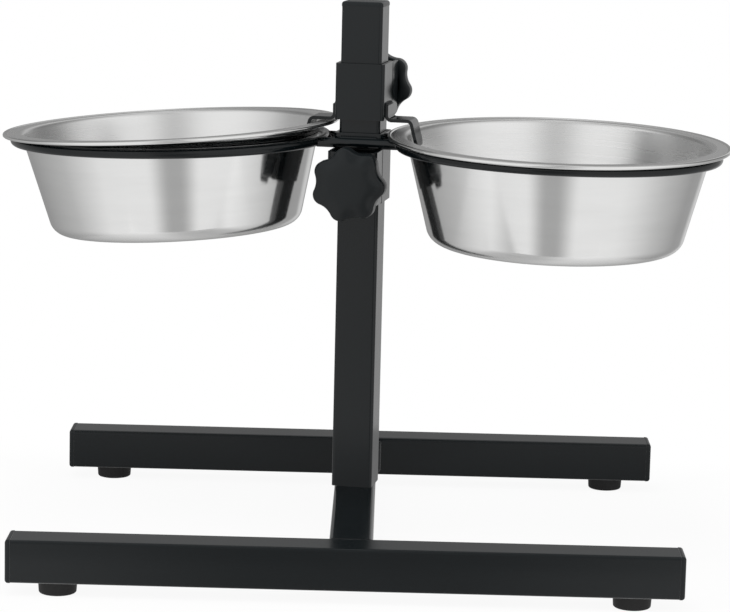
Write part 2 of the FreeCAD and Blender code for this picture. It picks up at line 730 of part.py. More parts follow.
# Each knob sits on its bracket, and its stud runs through the nut and ends just short of the post
carrier_level = carrier_top - value("Dim.carrier_knob_drop")
clamp_level = clamp_low + value("Dim.clamp_length / 2")
UNDER_TIE = "Dim.tie_drop + Dim.hoop_bar / 2 + Dim.bracket_tie_gap"
knob_rows = (
    ("carrier", -1, carrier_level, "Dim.bracket_length + %s - Dim.carrier_knob_drop" % UNDER_TIE),
    ("clamp", 1, clamp_level, "Dim.bracket_length / 2"),
)
web_out = sleeve_half + value("Dim.bracket_depth")
nut_out = web_out - value("Dim.bracket_sheet + Dim.nut_height")
knob_out = web_out + value("Dim.knob_clearance")
stud_start = value("Dim.tube_width / 2 + Dim.stud_post_gap")
stud_end = knob_out + value("Dim.knob_thickness - Dim.knob_cover - Dim.stud_clearance")
for name, outward, level, rise in knob_rows:
    nut_bracket(name + "_bracket", outward, level - value(rise), rise)
    turn = FreeCAD.Rotation(X_AXIS, -90 * outward)
    weld_nut(name + "_nut", in_frame(mast, vector(0, outward * nut_out, level), turn))
    star_turn = turn.multiply(FreeCAD.Rotation(Z_AXIS, value("Dim.%s_knob_angle" % name)))
    star_knob(name + "_knob", "Dim.knob_diameter", in_frame(mast, vector(0, outward * knob_out, level), star_turn))
    stud(name + "_stud", stud_end - stud_start, in_frame(mast, vector(0, outward * stud_start, level), turn))

doc.recompute()

NODES = (
    ["front_crossbar", "rear_crossbar", "connecting_bar", "front_welds", "rear_welds"]
    + ["cap_%s_%s" % (end, name) for end in bar_rows for name in sides]
    + list(foot_spots)
    + ["foot_screws", "post", "post_cap", "post_nut_plate", "mast_bolt", "mast_washer"]
    + ["carrier_sleeve", "front_tie_bar", "rear_tie_bar", "left_hoop", "right_hoop", "carrier_bracket"]
    + ["carrier_nut", "carrier_knob", "carrier_stud", "clamp_sleeve", "left_hook", "right_hook"]
    + ["clamp_bracket", "clamp_nut", "clamp_knob", "clamp_stud", "left_bowl", "right_bowl"]
)

for item in doc.Objects:
    if "Invalid" in item.State or "Error" in item.State:
        raise RuntimeError("%s failed: %s" % (item.Name, item.State))
os.makedirs("parts", exist_ok=True)
for node in NODES:
    shape = doc.getObject(node).Shape
    if shape.isNull() or not shape.isValid() or not shape.Solids:
        raise RuntimeError(node + " has no sound solid")
for node in NODES:
    shape = doc.getObject(node).Shape
    shape.exportStep("parts/%s.step" % node)
    print("%-20s solids %d  volume %.1f" % (node, len(shape.Solids), shape.Volume))
box = Part.makeCompound([doc.getObject(node).Shape for node in NODES]).BoundBox
print("overall %.1f x %.1f x %.1f" % (box.XLength, box.YLength, box.ZLength), box)
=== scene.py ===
# %% [markdown]
# # A raised stand for two dog bowls
# The real stand is black powder-coated square tube: an H on the floor, a post bolted to its middle,
# a sleeve with two round hoops that slides on the post, and a second sleeve whose hooks keep the
# bowls from being tipped out. The bowls are spun stainless steel. This lesson starts from the solid
# model, which fixes every size, and gives it finishes, light and the small forms of making.

# %% Load the solid model
import json
import math

import bmesh
import bpy
from mathutils import Matrix, Vector


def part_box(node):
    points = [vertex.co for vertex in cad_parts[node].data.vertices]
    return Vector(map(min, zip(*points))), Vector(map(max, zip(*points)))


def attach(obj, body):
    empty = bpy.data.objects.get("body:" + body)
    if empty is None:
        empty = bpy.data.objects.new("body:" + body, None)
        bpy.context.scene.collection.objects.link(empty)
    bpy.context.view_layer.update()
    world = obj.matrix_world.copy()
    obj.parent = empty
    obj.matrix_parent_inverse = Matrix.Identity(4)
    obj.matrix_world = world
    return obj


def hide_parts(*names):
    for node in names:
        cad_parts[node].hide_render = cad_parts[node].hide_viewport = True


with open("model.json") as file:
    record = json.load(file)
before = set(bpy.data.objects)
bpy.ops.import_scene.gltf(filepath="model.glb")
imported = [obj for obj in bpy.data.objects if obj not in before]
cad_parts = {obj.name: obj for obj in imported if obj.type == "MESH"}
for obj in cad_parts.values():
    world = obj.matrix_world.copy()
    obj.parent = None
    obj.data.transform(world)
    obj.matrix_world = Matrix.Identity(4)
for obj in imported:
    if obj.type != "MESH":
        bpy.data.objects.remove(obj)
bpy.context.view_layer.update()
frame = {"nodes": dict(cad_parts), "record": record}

MM = 0.001

# %% [markdown]
# ## Camera
# A long lens from nearly two metres away keeps the square tubes almost parallel. The camera could be
# placed by eye, but the base is a known rectangle, so its corners give the place, the tilt and the
# slight roll of the photograph. They are written here as an angle each and a focal length in pixels.

# %% Camera
PHOTO_WIDTH, FOCAL_PIXELS = 730, 3016.4
SENSOR_WIDTH, FAR_END = 36, 20
camera_yaw = math.radians(0.47)
camera_pitch = math.radians(9.67)
camera_roll = math.radians(-1.35)
camera_place = Vector((18.68, -1819.9, 454.6)) * MM

level_right = Vector((math.cos(camera_yaw), math.sin(camera_yaw), 0))
forward = Vector((-math.sin(camera_yaw), math.cos(camera_yaw), 0)) * math.cos(camera_pitch)
forward.z = -math.sin(camera_pitch)
level_down = forward.cross(level_right)
picture_right = level_right * math.cos(camera_roll) + level_down * math.sin(camera_roll)
picture_down = level_down * math.cos(camera_roll) - level_right * math.sin(camera_roll)
camera_turn = Matrix((picture_right, -picture_down, -forward)).transposed()

camera_data = bpy.data.cameras.new("photo_camera")
camera_data.sensor_width = SENSOR_WIDTH
camera_data.lens = FOCAL_PIXELS / PHOTO_WIDTH * SENSOR_WIDTH
camera_data.clip_end = FAR_END
camera = bpy.data.objects.new("photo_camera", camera_data)
camera.matrix_world = Matrix.Translation(camera_place) @ camera_turn.to_4x4()
bpy.context.scene.collection.objects.link(camera)
bpy.context.scene.camera = camera
bpy.context.scene.view_settings.view_transform = "Standard"
print("lens %.1f mm" % camera_data.lens)

# %% [markdown]
# ## Tools for shader trees
# Every finish and every light in this lesson is a tree of small nodes. Written out one by one they
# hide what they do, so the steps that come back again and again get a short name each: a node with
# its values, a sum, a change of range, a blend of two shaders.


# %% Helpers for shader trees
def add_node(tree, kind, **values):
    """Node of a tree with some of its settings or unlinked inputs filled in."""
    node = tree.nodes.new(kind)
    for key, setting in values.items():
        if hasattr(node, key):
            setattr(node, key, setting)
        else:
            node.inputs[key.replace("_", " ")].default_value = setting
    return node


def maths(tree, operation, first, second=None, third=None, clamp=False):
    """Output of a Math node whose inputs are sockets or numbers."""
    node = add_node(tree, "ShaderNodeMath", operation=operation, use_clamp=clamp)
    for socket, term in zip(node.inputs, (first, second, third)):
        if isinstance(term, (int, float)):
            socket.default_value = term
        elif term is not None:
            tree.links.new(term, socket)
    return node.outputs[0]


def map_range(tree, source, low, high, to_low, to_high, smooth=False):
    """Socket that carries a source from one range of values into another."""
    node = add_node(tree, "ShaderNodeMapRange", interpolation_type="SMOOTHSTEP" if smooth else "LINEAR",
                    From_Min=low, From_Max=high, To_Min=to_low, To_Max=to_high)
    tree.links.new(source, node.inputs["Value"])
    return node.outputs["Result"]


def split(tree, vector):
    """The X, Y and Z sockets of a vector."""
    node = tree.nodes.new("ShaderNodeSeparateXYZ")
    tree.links.new(vector, node.inputs[0])
    return node.outputs


def blend_shaders(tree, share, first, second):
    """Shader between two others, by a share of the second."""
    blend = tree.nodes.new("ShaderNodeMixShader")
    tree.links.new(share, blend.inputs[0])
    tree.links.new(first.outputs[0], blend.inputs[1])
    tree.links.new(second.outputs[0], blend.inputs[2])
    return blend


def show_shader(tree, shader, output="ShaderNodeOutputMaterial"):
    """Make a shader the surface of its material or world."""
    tree.links.new(shader.outputs[0], tree.nodes.new(output).inputs["Surface"])


def seen_rays(tree):
    """One for rays that come from the camera, gloss or glass, and the node that tells rays apart."""
    path = tree.nodes.new("ShaderNodeLightPath")
    shown = maths(tree, "MAXIMUM", path.outputs["Is Camera Ray"], path.outputs["Is Glossy Ray"])
    return maths(tree, "MAXIMUM", shown, path.outputs["Is Transmission Ray"]), path


print("helpers for shader trees are ready")

# %% [markdown]
# ## White room
# Polished steel shows the room around it, so the room matters as much as the metal. It could be built
# from sheets of paper, but the world behind everything can do the same with a ramp of tones that runs
# once round the stand: white in front, fading along both sides and dim behind, with one paler stretch.

# %% Walls
room = bpy.data.worlds.new("white_room")
room.use_nodes = True
bpy.context.scene.world = room
sky = room.node_tree
sky.nodes.clear()

direction = split(sky, sky.nodes.new("ShaderNodeTexCoord").outputs["Generated"])
around = maths(sky, "ARCTAN2", direction["X"], maths(sky, "MULTIPLY", direction["Y"], -1.0))
from_front = maths(sky, "ABSOLUTE", around)
share_around = maths(sky, "MULTIPLY_ADD", around, 0.5 / math.pi, 0.5)

# Share of the way round, from the back over the left, the front at one half and the right, and its light
WALL_LEVELS = [
    (0.0, 0.28), (0.08, 0.34), (0.22, 0.56), (0.33, 0.92), (0.40, 0.95), (0.60, 0.95), (0.66, 0.94),
    (0.70, 0.86), (0.78, 0.60), (0.87, 0.38), (0.915, 0.38), (0.935, 0.64), (0.96, 0.64), (0.98, 0.30),
    (1.0, 0.28),
]
walls = sky.nodes.new("ShaderNodeValToRGB")
stops = walls.color_ramp.elements
while len(stops) < len(WALL_LEVELS):
    stops.new(0.5)
for stop, (place, level) in zip(stops, WALL_LEVELS):
    stop.position = place
    stop.color = (level, level, level, 1)
sky.links.new(share_around, walls.inputs[0])
print("walls in", len(WALL_LEVELS), "tones")

# %% [markdown]
# A bowl's outside leans down and its inside leans up, so they mirror different heights of the room.
# More cards could hang up there, but tones in the same tree are quicker to tune: a ceiling, a darker strip
# in front with more light beside it, and dark corners behind, which shade the ends of the inner walls.

# %% Above eye level
# Starts and ends are the Z of a direction or an angle from the front in radians, dips are light taken away
CEILING_START, CEILING_FULL, CEILING_LEVEL = 0.50, 0.95, 0.75
STRIP_EDGE, STRIP_END, STRIP_DIP, BESIDE_STRIP = 0.04, 0.42, 0.42, -0.08
CORNER_START, CORNER_FULL, CORNER_DIP = 1.5, 2.0, 0.56
CORNER_LEAVE, CORNER_END = 2.4, 2.9
EYE_LEVEL, ABOVE_EYES = 0.10, 0.22

ceiling = map_range(sky, direction["Z"], CEILING_START, CEILING_FULL, 0.0, 1.0, smooth=True)
tones = add_node(sky, "ShaderNodeMix", data_type="RGBA")
tones.inputs["B"].default_value = (CEILING_LEVEL, CEILING_LEVEL, CEILING_LEVEL, 1)
sky.links.new(ceiling, tones.inputs["Factor"])
sky.links.new(walls.outputs["Color"], tones.inputs["A"])

strip = map_range(sky, from_front, STRIP_EDGE, STRIP_END, STRIP_DIP, BESIDE_STRIP, smooth=True)
corner_in = map_range(sky, from_front, CORNER_START, CORNER_FULL, 0.0, CORNER_DIP, smooth=True)
corner_out = map_range(sky, from_front, CORNER_LEAVE, CORNER_END, 1.0, 0.0, smooth=True)
dips = maths(sky, "MULTIPLY_ADD", corner_in, corner_out, strip)
upward = map_range(sky, direction["Z"], EYE_LEVEL, ABOVE_EYES, 0.0, 1.0)
room_level = maths(sky, "SUBTRACT", 1.0, maths(sky, "MULTIPLY", dips, upward))
print("ceiling, strip and corners added")

# %% [markdown]
# Matt surfaces would pick up these tones as uneven light. So only glossy rays see the toned room. All
# other rays get an even soft light, and the camera sees plain white behind the stand.

# %% Three ways to see the room
WHITE, SOFT_STRENGTH = (1, 1, 1, 1), 0.45
soft_light = add_node(sky, "ShaderNodeBackground", Color=WHITE, Strength=SOFT_STRENGTH)
glossy_room = sky.nodes.new("ShaderNodeBackground")
backdrop = add_node(sky, "ShaderNodeBackground", Color=WHITE, Strength=1.0)
sky.links.new(tones.outputs["Result"], glossy_room.inputs["Color"])
sky.links.new(room_level, glossy_room.inputs["Strength"])
shown, path = seen_rays(sky)
toned = blend_shaders(sky, shown, soft_light, glossy_room)
show_shader(sky, blend_shaders(sky, path.outputs["Is Camera Ray"], toned, backdrop), "ShaderNodeOutputWorld")
print("world:", room.name)

# %% [markdown]
# ## Lamps
# The world alone would light the black tubes from everywhere and flatten them. One large soft lamp
# from above and a weaker one from each side give form and a soft shadow under the bars. They are kept
# out of reflections, because the photograph shows no lamp in the steel.

# %% Lamps
STAND_MIDDLE = Vector((0, 0, 0.15))


def soft_lamp(name, place, size, power):
    """Round area lamp that looks at the middle of the stand."""
    data = bpy.data.lights.new(name, "AREA")
    data.shape = "DISK"
    data.size = size
    data.energy = power
    lamp = bpy.data.objects.new(name, data)
    lamp.location = place
    lamp.rotation_euler = (STAND_MIDDLE - Vector(place)).to_track_quat("-Z", "Y").to_euler()
    lamp.visible_glossy = False
    bpy.context.scene.collection.objects.link(lamp)


soft_lamp("overhead_lamp", (-0.25, -0.35, 1.75), size=1.3, power=15.0)
soft_lamp("left_lamp", (-1.5, -0.9, 1.0), size=1.0, power=7.0)
soft_lamp("right_lamp", (1.5, -0.7, 1.0), size=1.0, power=7.0)
print("lamps:", [light.name for light in bpy.data.lights])

# %% [markdown]
# ## Floor and card
# The stand needs a floor to throw its shadow on and a card to mirror. Both are flat sheets that are no
# part of the stand. Whole planes from the menu would do, but four corners and one face say where each
# sheet ends, and the paper's tree can ask for the place of each point on it.


# %% Sheets of paper
def empty_material(name):
    """New material and its shader tree with nothing in it."""
    material = bpy.data.materials.new(name)
    material.use_nodes = True
    material.node_tree.nodes.clear()
    return material, material.node_tree


def sheet_of_paper(name, corners):
    """Flat four-cornered stage piece, the shader tree of its paper and where its points are."""
    mesh = bpy.data.meshes.new(name)
    mesh.from_pydata(corners, [], [(0, 1, 2, 3)])
    sheet = bpy.data.objects.new(name, mesh)
    bpy.context.scene.collection.objects.link(sheet)
    paper, tree = empty_material(name + "_paper")
    mesh.materials.append(paper)
    return sheet, tree, split(tree, tree.nodes.new("ShaderNodeTexCoord").outputs["Object"])


print("paper is ready")

# %% [markdown]
# The stand is on white paper that runs into a white background. A plain white sheet would turn grey
# in its own shade, so the paper is part matt, which takes the shadow, and part glowing white, which
# fades in towards its edge until no edge is left. Steel would mirror that white from below far more
# than the real steel does, so in gloss the glow is dimmed towards the middle and the back: painted
# shade under and behind the stand, seen only in reflections.

# %% Floor
FLOOR_SIDE, FLOOR_FRONT, FLOOR_BACK, FLOOR_FADE = 0.30, -0.25, 0.30, 0.09
FLOOR_GLOW, FLOOR_PAPER = 0.93, (0.9, 0.9, 0.9, 1)
# Painted shade: how far the glow is dimmed in gloss towards the back and towards the middle
GREYING_START, GREYING_END, BACK_PAINTED_SHADE = -0.23, 0.18, -0.62
MIDDLE_EDGE, BOWL_EDGE, MIDDLE_PAINTED_SHADE = 0.04, 0.22, -0.45

floor, tree, spot = sheet_of_paper("floor", [
    (-FLOOR_SIDE, FLOOR_FRONT, 0), (FLOOR_SIDE, FLOOR_FRONT, 0),
    (FLOOR_SIDE, FLOOR_BACK, 0), (-FLOOR_SIDE, FLOOR_BACK, 0),
])
sideways = maths(tree, "ABSOLUTE", spot["X"])
past_side = maths(tree, "SUBTRACT", sideways, FLOOR_SIDE - FLOOR_FADE)
past_front = maths(tree, "SUBTRACT", maths(tree, "ABSOLUTE", spot["Y"]), -FLOOR_FRONT - FLOOR_FADE)
edge_reach = maths(tree, "MAXIMUM", past_side, past_front)
white_share = map_range(tree, edge_reach, 0.0, FLOOR_FADE, FLOOR_GLOW, 1.0, smooth=True)
# Painted shade in reflections: the glow that steel mirrors is dimmed towards the back and the middle
to_back = map_range(tree, spot["Y"], GREYING_START, GREYING_END, 0.0, BACK_PAINTED_SHADE)
to_middle = map_range(tree, sideways, MIDDLE_EDGE, BOWL_EDGE, MIDDLE_PAINTED_SHADE, 0.0, smooth=True)
painted_shade = maths(tree, "MINIMUM", to_back, to_middle)
shown, path = seen_rays(tree)
matt = add_node(tree, "ShaderNodeBsdfDiffuse", Color=FLOOR_PAPER)
glow = add_node(tree, "ShaderNodeEmission", Color=WHITE)
in_gloss = maths(tree, "MULTIPLY_ADD", path.outputs["Is Glossy Ray"], painted_shade, 1.0)
tree.links.new(in_gloss, glow.inputs["Strength"])
show_shader(tree, blend_shaders(tree, maths(tree, "MULTIPLY", shown, white_share), matt, glow))
print(floor.name, "%.2f m wide" % (2 * FLOOR_SIDE))

# %% [markdown]
# A soft dark band runs down the middle of each bowl. A tall grey card draws it: it stands where a
# photographer would, close enough for each bowl to show it from its own side. Its sides fade out, as
# a band with hard edges would look like a stripe of paint. Only reflections see it.

# %% Grey card in front
CARD_DEPTH, CARD_HALF, CARD_LOW, CARD_TOP = -0.85, 0.38, -0.9, 0.25
CARD_CORE, CARD_GREY = 0.06, (0.46, 0.46, 0.46, 1)
card, tree, spot = sheet_of_paper("front_card", [
    (-CARD_HALF, CARD_DEPTH, CARD_LOW), (CARD_HALF, CARD_DEPTH, CARD_LOW),
    (CARD_HALF, CARD_DEPTH, CARD_TOP), (-CARD_HALF, CARD_DEPTH, CARD_TOP),
])
card_share = map_range(tree, maths(tree, "ABSOLUTE", spot["X"]), CARD_CORE, CARD_HALF, 1.0, 0.0, smooth=True)
clear = tree.nodes.new("ShaderNodeBsdfTransparent")
grey = add_node(tree, "ShaderNodeEmission", Color=CARD_GREY, Strength=1.0)
show_shader(tree, blend_shaders(tree, card_share, clear, grey))
card.visible_camera = False
card.visible_diffuse = False
card.visible_shadow = False
print(card.name, "%.2f m wide" % (2 * CARD_HALF))

# %% [markdown]
# ## Shared effects
# Powder coat, moulded plastic, rubber and plated steel all have a fine skin that is never quite even,
# with a little dust in it. Noise of two sizes makes grain and clouds, and small cells make specks that
# show only where the clouds are dense. It is a node group, so each finish can use it at its own scale.


# %% Skin grain
def new_group(name, inputs, outputs):
    """Empty node group with named sockets, the sockets it takes and the sockets it gives."""
    group = bpy.data.node_groups.new(name, "ShaderNodeTree")
    for label, kind, start in inputs:
        socket = group.interface.new_socket(label, in_out="INPUT", socket_type=kind)
        if start is not None:
            socket.default_value = start
    for label in outputs:
        group.interface.new_socket(label, in_out="OUTPUT", socket_type="NodeSocketFloat")
    return group, group.nodes.new("NodeGroupInput").outputs, group.nodes.new("NodeGroupOutput").inputs


SPECK_CORE, SPECK_EDGE = 0.02, 0.09
DENSE_START, DENSE_FULL = 0.52, 0.66
skin_grain, takes, gives = new_group(
    "skin_grain",
    [("Grain scale", "NodeSocketFloat", 900.0), ("Cloud scale", "NodeSocketFloat", 18.0)],
    ["Height", "Clouds", "Dust"],
)
grain = add_node(skin_grain, "ShaderNodeTexNoise", Detail=3.0, Roughness=0.55)
clouds = add_node(skin_grain, "ShaderNodeTexNoise", Detail=4.0, Roughness=0.6)
dust = add_node(skin_grain, "ShaderNodeTexVoronoi", Scale=260.0)
where = skin_grain.nodes.new("ShaderNodeTexCoord")
for node in (grain, clouds, dust):
    skin_grain.links.new(where.outputs["Object"], node.inputs["Vector"])
skin_grain.links.new(takes["Grain scale"], grain.inputs["Scale"])
skin_grain.links.new(takes["Cloud scale"], clouds.inputs["Scale"])
specks = map_range(skin_grain, dust.outputs["Distance"], SPECK_CORE, SPECK_EDGE, 1.0, 0.0, smooth=True)
sparse = map_range(skin_grain, clouds.outputs["Fac"], DENSE_START, DENSE_FULL, 0.0, 1.0)
skin_grain.links.new(grain.outputs["Fac"], gives["Height"])
skin_grain.links.new(clouds.outputs["Fac"], gives["Clouds"])
skin_grain.links.new(maths(skin_grain, "MULTIPLY", specks, sparse), gives["Dust"])
print("group:", skin_grain.name)

# %% [markdown]
# Handling rubs a finish along its edges. Painting a mask by hand would tie it to one mesh, so the group
# compares the true normal with one that the Bevel node has rounded: they differ only near an edge. A
# noise breaks the line, because real wear comes and goes.

# %% Rubbed edges
FLAT_BEND, SHARP_BEND = 0.995, 0.80
RUB_START, RUB_FULL, LEAST_RUB = 0.38, 0.68, 0.15
rubbed_edges, takes, gives = new_group(
    "rubbed_edges",
    [("Edge width", "NodeSocketFloat", 0.0012), ("Amount", "NodeSocketFloat", 0.5)],
    ["Mask"],
)
rounded = add_node(rubbed_edges, "ShaderNodeBevel", samples=6)
rubbed_edges.links.new(takes["Edge width"], rounded.inputs["Radius"])
flat = rubbed_edges.nodes.new("ShaderNodeNewGeometry")
bend = add_node(rubbed_edges, "ShaderNodeVectorMath", operation="DOT_PRODUCT")
rubbed_edges.links.new(rounded.outputs["Normal"], bend.inputs[0])
rubbed_edges.links.new(flat.outputs["Normal"], bend.inputs[1])
edge = map_range(rubbed_edges, bend.outputs["Value"], FLAT_BEND, SHARP_BEND, 0.0, 1.0, smooth=True)
uneven = add_node(rubbed_edges, "ShaderNodeTexNoise", Scale=140.0, Detail=4.0)
where = rubbed_edges.nodes.new("ShaderNodeTexCoord")
rubbed_edges.links.new(where.outputs["Object"], uneven.inputs["Vector"])
broken = map_range(rubbed_edges, uneven.outputs["Fac"], RUB_START, RUB_FULL, LEAST_RUB, 1.0)
worn = maths(rubbed_edges, "MULTIPLY", edge, broken)
rubbed_edges.links.new(maths(rubbed_edges, "MULTIPLY", worn, takes["Amount"]), gives["Mask"])
print("group:", rubbed_edges.name)

# %% [markdown]
# A spinning tool leaves fine rings on metal. A noise stretched along one texture coordinate would show
# a seam where the coordinate starts again. So the way round becomes a point on a small circle in the
# noise, which closes by itself, and the way along the section becomes a long walk through it.

# %% Tool lines
tool_lines, takes, gives = new_group(
    "tool_lines",
    [("Vector", "NodeSocketVector", None), ("Fineness", "NodeSocketFloat", 300.0)],
    ["Height", "Streaks"],
)
turning_place = split(tool_lines, takes["Vector"])
round_angle = maths(tool_lines, "MULTIPLY", turning_place["X"], 2 * math.pi)
row = maths(tool_lines, "MULTIPLY", turning_place["Y"], takes["Fineness"])
for label, row_share, circle, detail in (("Height", 1.0, 0.5, 4.0), ("Streaks", 0.12, 1.4, 3.0)):
    point = tool_lines.nodes.new("ShaderNodeCombineXYZ")
    tool_lines.links.new(maths(tool_lines, "MULTIPLY", row, row_share), point.inputs["X"])
    for axis, wave in (("Y", "COSINE"), ("Z", "SINE")):
        on_circle = maths(tool_lines, "MULTIPLY", maths(tool_lines, wave, round_angle), circle)
        tool_lines.links.new(on_circle, point.inputs[axis])
    lines = add_node(tool_lines, "ShaderNodeTexNoise", Scale=1.0, Detail=detail, Roughness=0.6)
    tool_lines.links.new(point.outputs["Vector"], lines.inputs["Vector"])
    tool_lines.links.new(lines.outputs["Fac"], gives[label])
print("group:", tool_lines.name)

# %% [markdown]
# ## Finishes
# Every finish here has a place for shared groups, a colour that moves between two tones and a bump that
# tilts its surface a little. Each could be wired anew in every material, but three helpers keep the
# recipes below down to what differs between real finishes.


# %% Helpers for finishes
def place_group(tree, group, **values):
    """Node of a shared group with some of its inputs filled in."""
    node = tree.nodes.new("ShaderNodeGroup")
    node.node_tree = group
    for key, setting in values.items():
        node.inputs[key.replace("_", " ")].default_value = setting
    return node


def mixed_tone(tree, share, first, second):
    """Colour socket between two colours."""
    tone = add_node(tree, "ShaderNodeMix", data_type="RGBA")
    tone.inputs["A"].default_value = (*first, 1)
    tone.inputs["B"].default_value = (*second, 1)
    tree.links.new(share, tone.inputs["Factor"])
    return tone.outputs["Result"]


def raise_bump(tree, shader, height, strength, depth):
    """Let a height socket tilt the normals of a shader."""
    bump = add_node(tree, "ShaderNodeBump", Strength=strength, Distance=depth)
    tree.links.new(height, bump.inputs["Height"])
    tree.links.new(bump.outputs["Normal"], shader.inputs["Normal"])


print("helpers for finishes are ready")

# %% [markdown]
# The tubes are powder coated: a hard semi-gloss black that looks nearly flat head-on and pale at a
# low angle, because any smooth coat mirrors the room there. The knobs and caps are moulded plastic,
# a little duller and grainier, the feet are rubber, and the small hardware is zinc plated. One recipe
# makes all four from the same two groups.

# %% Black and plated finishes
# Most values of a noise lie between these two
NOISE_LOW, NOISE_HIGH = 0.3, 0.7
DUST_SHARE, COAT_BUMP = 0.10, 0.35


def coated(name, colour, worn, roughness, spread, grain_scale, grain_depth, wear, gloss=0.5, metallic=0.0):
    """Finish with grain in its bump, clouds in its roughness and rubbed edges in its colour."""
    material, tree = empty_material(name)
    shader = add_node(tree, "ShaderNodeBsdfPrincipled", Metallic=metallic, Specular_IOR_Level=gloss)
    show_shader(tree, shader)
    skin = place_group(tree, skin_grain, Grain_scale=grain_scale)
    edges = place_group(tree, rubbed_edges, Amount=wear)
    marks = maths(tree, "MULTIPLY_ADD", skin.outputs["Dust"], DUST_SHARE, edges.outputs["Mask"], clamp=True)
    tree.links.new(mixed_tone(tree, marks, colour, worn), shader.inputs["Base Color"])
    shine = map_range(
        tree, skin.outputs["Clouds"], NOISE_LOW, NOISE_HIGH, roughness - spread, roughness + spread)
    tree.links.new(shine, shader.inputs["Roughness"])
    raise_bump(tree, shader, skin.outputs["Height"], COAT_BUMP, grain_depth)
    return material


finishes = {
    "black_paint": coated(
        "powder_coat", colour=(0.0032, 0.0056, 0.0068), worn=(0.02, 0.02, 0.02), roughness=0.16, spread=0.04,
        grain_scale=700.0, grain_depth=0.00002, wear=0.5, gloss=0.35),
    "black_plastic": coated(
        "moulded_plastic", colour=(0.0047, 0.0070, 0.0082), worn=(0.02, 0.02, 0.02), roughness=0.32,
        spread=0.05, grain_scale=1500.0, grain_depth=0.00003, wear=0.4, gloss=0.32),
    "black_rubber": coated(
        "foot_rubber", colour=(0.012, 0.012, 0.012), worn=(0.04, 0.04, 0.038), roughness=0.60, spread=0.06,
        grain_scale=1200.0, grain_depth=0.00006, wear=0.6, gloss=0.3),
    "zinc_steel": coated(
        "zinc_plate", colour=(0.55, 0.56, 0.57), worn=(0.7, 0.7, 0.7), roughness=0.32, spread=0.08,
        grain_scale=500.0, grain_depth=0.00003, wear=0.3, metallic=1.0),
}
print("finishes:", list(finishes))

# %% [markdown]
# The bowls are pressed from polished sheet and turned on a spindle, so faint rings run round them.
# The rings need to know which way is round, and the turned mesh can say so: its first texture
# coordinate runs round the bowl and its second runs from the middle of the underside to the middle
# inside. The outside is polished and mirrors the mast sharply, except for the underside, which nobody
# polishes. The inside is left satin by the tool, and because its scratches all run round, it spreads
# reflections more up and down than sideways.

# %% Spun steel
STEEL, BRIGHT_STEEL = (0.74, 0.74, 0.735), (0.82, 0.82, 0.815)
CLOUD_SHARE, RING_BUMP, RING_DEPTH = 0.05, 0.05, 0.00003
# Shares of the way along the section
UNDERSIDE_END, WALL_START = 0.235, 0.275


def spun_steel(name, smoothest, roughest, anisotropy=0.0, dull_underside=0.0):
    """Turned steel with rings in its roughness and bump."""
    material, tree = empty_material(name)
    shader = add_node(tree, "ShaderNodeBsdfPrincipled", Metallic=1.0, Anisotropic=anisotropy)
    show_shader(tree, shader)
    turning = add_node(tree, "ShaderNodeUVMap", uv_map="turning")
    round_way = add_node(tree, "ShaderNodeTangent", direction_type="UV_MAP", uv_map="turning")
    tree.links.new(round_way.outputs["Tangent"], shader.inputs["Tangent"])
    rings = place_group(tree, tool_lines)
    tree.links.new(turning.outputs["UV"], rings.inputs["Vector"])
    skin = place_group(tree, skin_grain)
    streaked = mixed_tone(tree, rings.outputs["Streaks"], STEEL, BRIGHT_STEEL)
    tree.links.new(streaked, shader.inputs["Base Color"])
    shine = map_range(tree, rings.outputs["Height"], NOISE_LOW, NOISE_HIGH, smoothest, roughest)
    shine = maths(tree, "MULTIPLY_ADD", skin.outputs["Clouds"], CLOUD_SHARE, shine)
    if dull_underside:
        along = split(tree, turning.outputs["UV"])["Y"]
        duller = map_range(tree, along, UNDERSIDE_END, WALL_START, dull_underside, 0.0, smooth=True)
        shine = maths(tree, "ADD", shine, duller)
    tree.links.new(shine, shader.inputs["Roughness"])
    raise_bump(tree, shader, rings.outputs["Height"], RING_BUMP, RING_DEPTH)
    return material


finishes["bowl_steel"] = spun_steel("polished_steel", smoothest=0.06, roughest=0.11, dull_underside=0.22)
satin_steel = spun_steel("satin_steel", smoothest=0.24, roughest=0.28, anisotropy=0.3)
print("steels:", finishes["bowl_steel"].name, satin_steel.name)

# %% [markdown]
# ## Dressing the solid model
# The record of the solid model says which finish each node has, so nothing is assigned by hand. In the
# photograph the bowls mirror the mast but not the base below them, so the base stays out of reflections.
# Each object has a switch for that, which is simpler than a second scene without the base.

# %% Give every node its finish
NOT_MIRRORED = ("front_crossbar", "rear_crossbar", "connecting_bar", "cap_", "foot_")
slots = {entry["node"]: entry["material_slot"] for entry in frame["record"]["subparts"]}
for name, node in frame["nodes"].items():
    node.data.materials.clear()
    node.data.materials.append(finishes[slots[name]])
    if name.startswith(NOT_MIRRORED):
        node.visible_glossy = False
print("dressed", len(slots), "nodes")

# %% [markdown]
# ## Bowls
# Each bowl is one turned section: flat floor, a generous bend, a straight tapered wall, a tight bend,
# a narrow flange and a rolled bead at its rim. A Screw modifier could turn it, but a lathe in code also
# gives the texture coordinates that the rings need and keeps the bends smooth, where the room is
# mirrored. The section is the solid model's own, and so are the lean and place of each bowl.


# %% Rounded lines
def rounded_line(corners):
    """Points along a line whose inner corners (x, z, radius, steps) are rounded."""
    points = []
    for i, (x, z, radius, steps) in enumerate(corners):
        corner = Vector((x, z))
        if radius == 0:
            points.append(corner)
            continue
        before = (Vector(corners[i - 1][:2]) - corner).normalized()
        after = (Vector(corners[i + 1][:2]) - corner).normalized()
        half = before.angle(after) / 2
        run = radius / math.tan(half)
        centre = corner + (before + after).normalized() * radius / math.sin(half)
        start = corner + before * run - centre
        sweep = math.pi - 2 * half
        sign = 1 if before.x * after.y - before.y * after.x < 0 else -1
        for k in range(steps + 1):
            points.append(centre + Matrix.Rotation(sign * sweep * k / steps, 2) @ start)
    return points


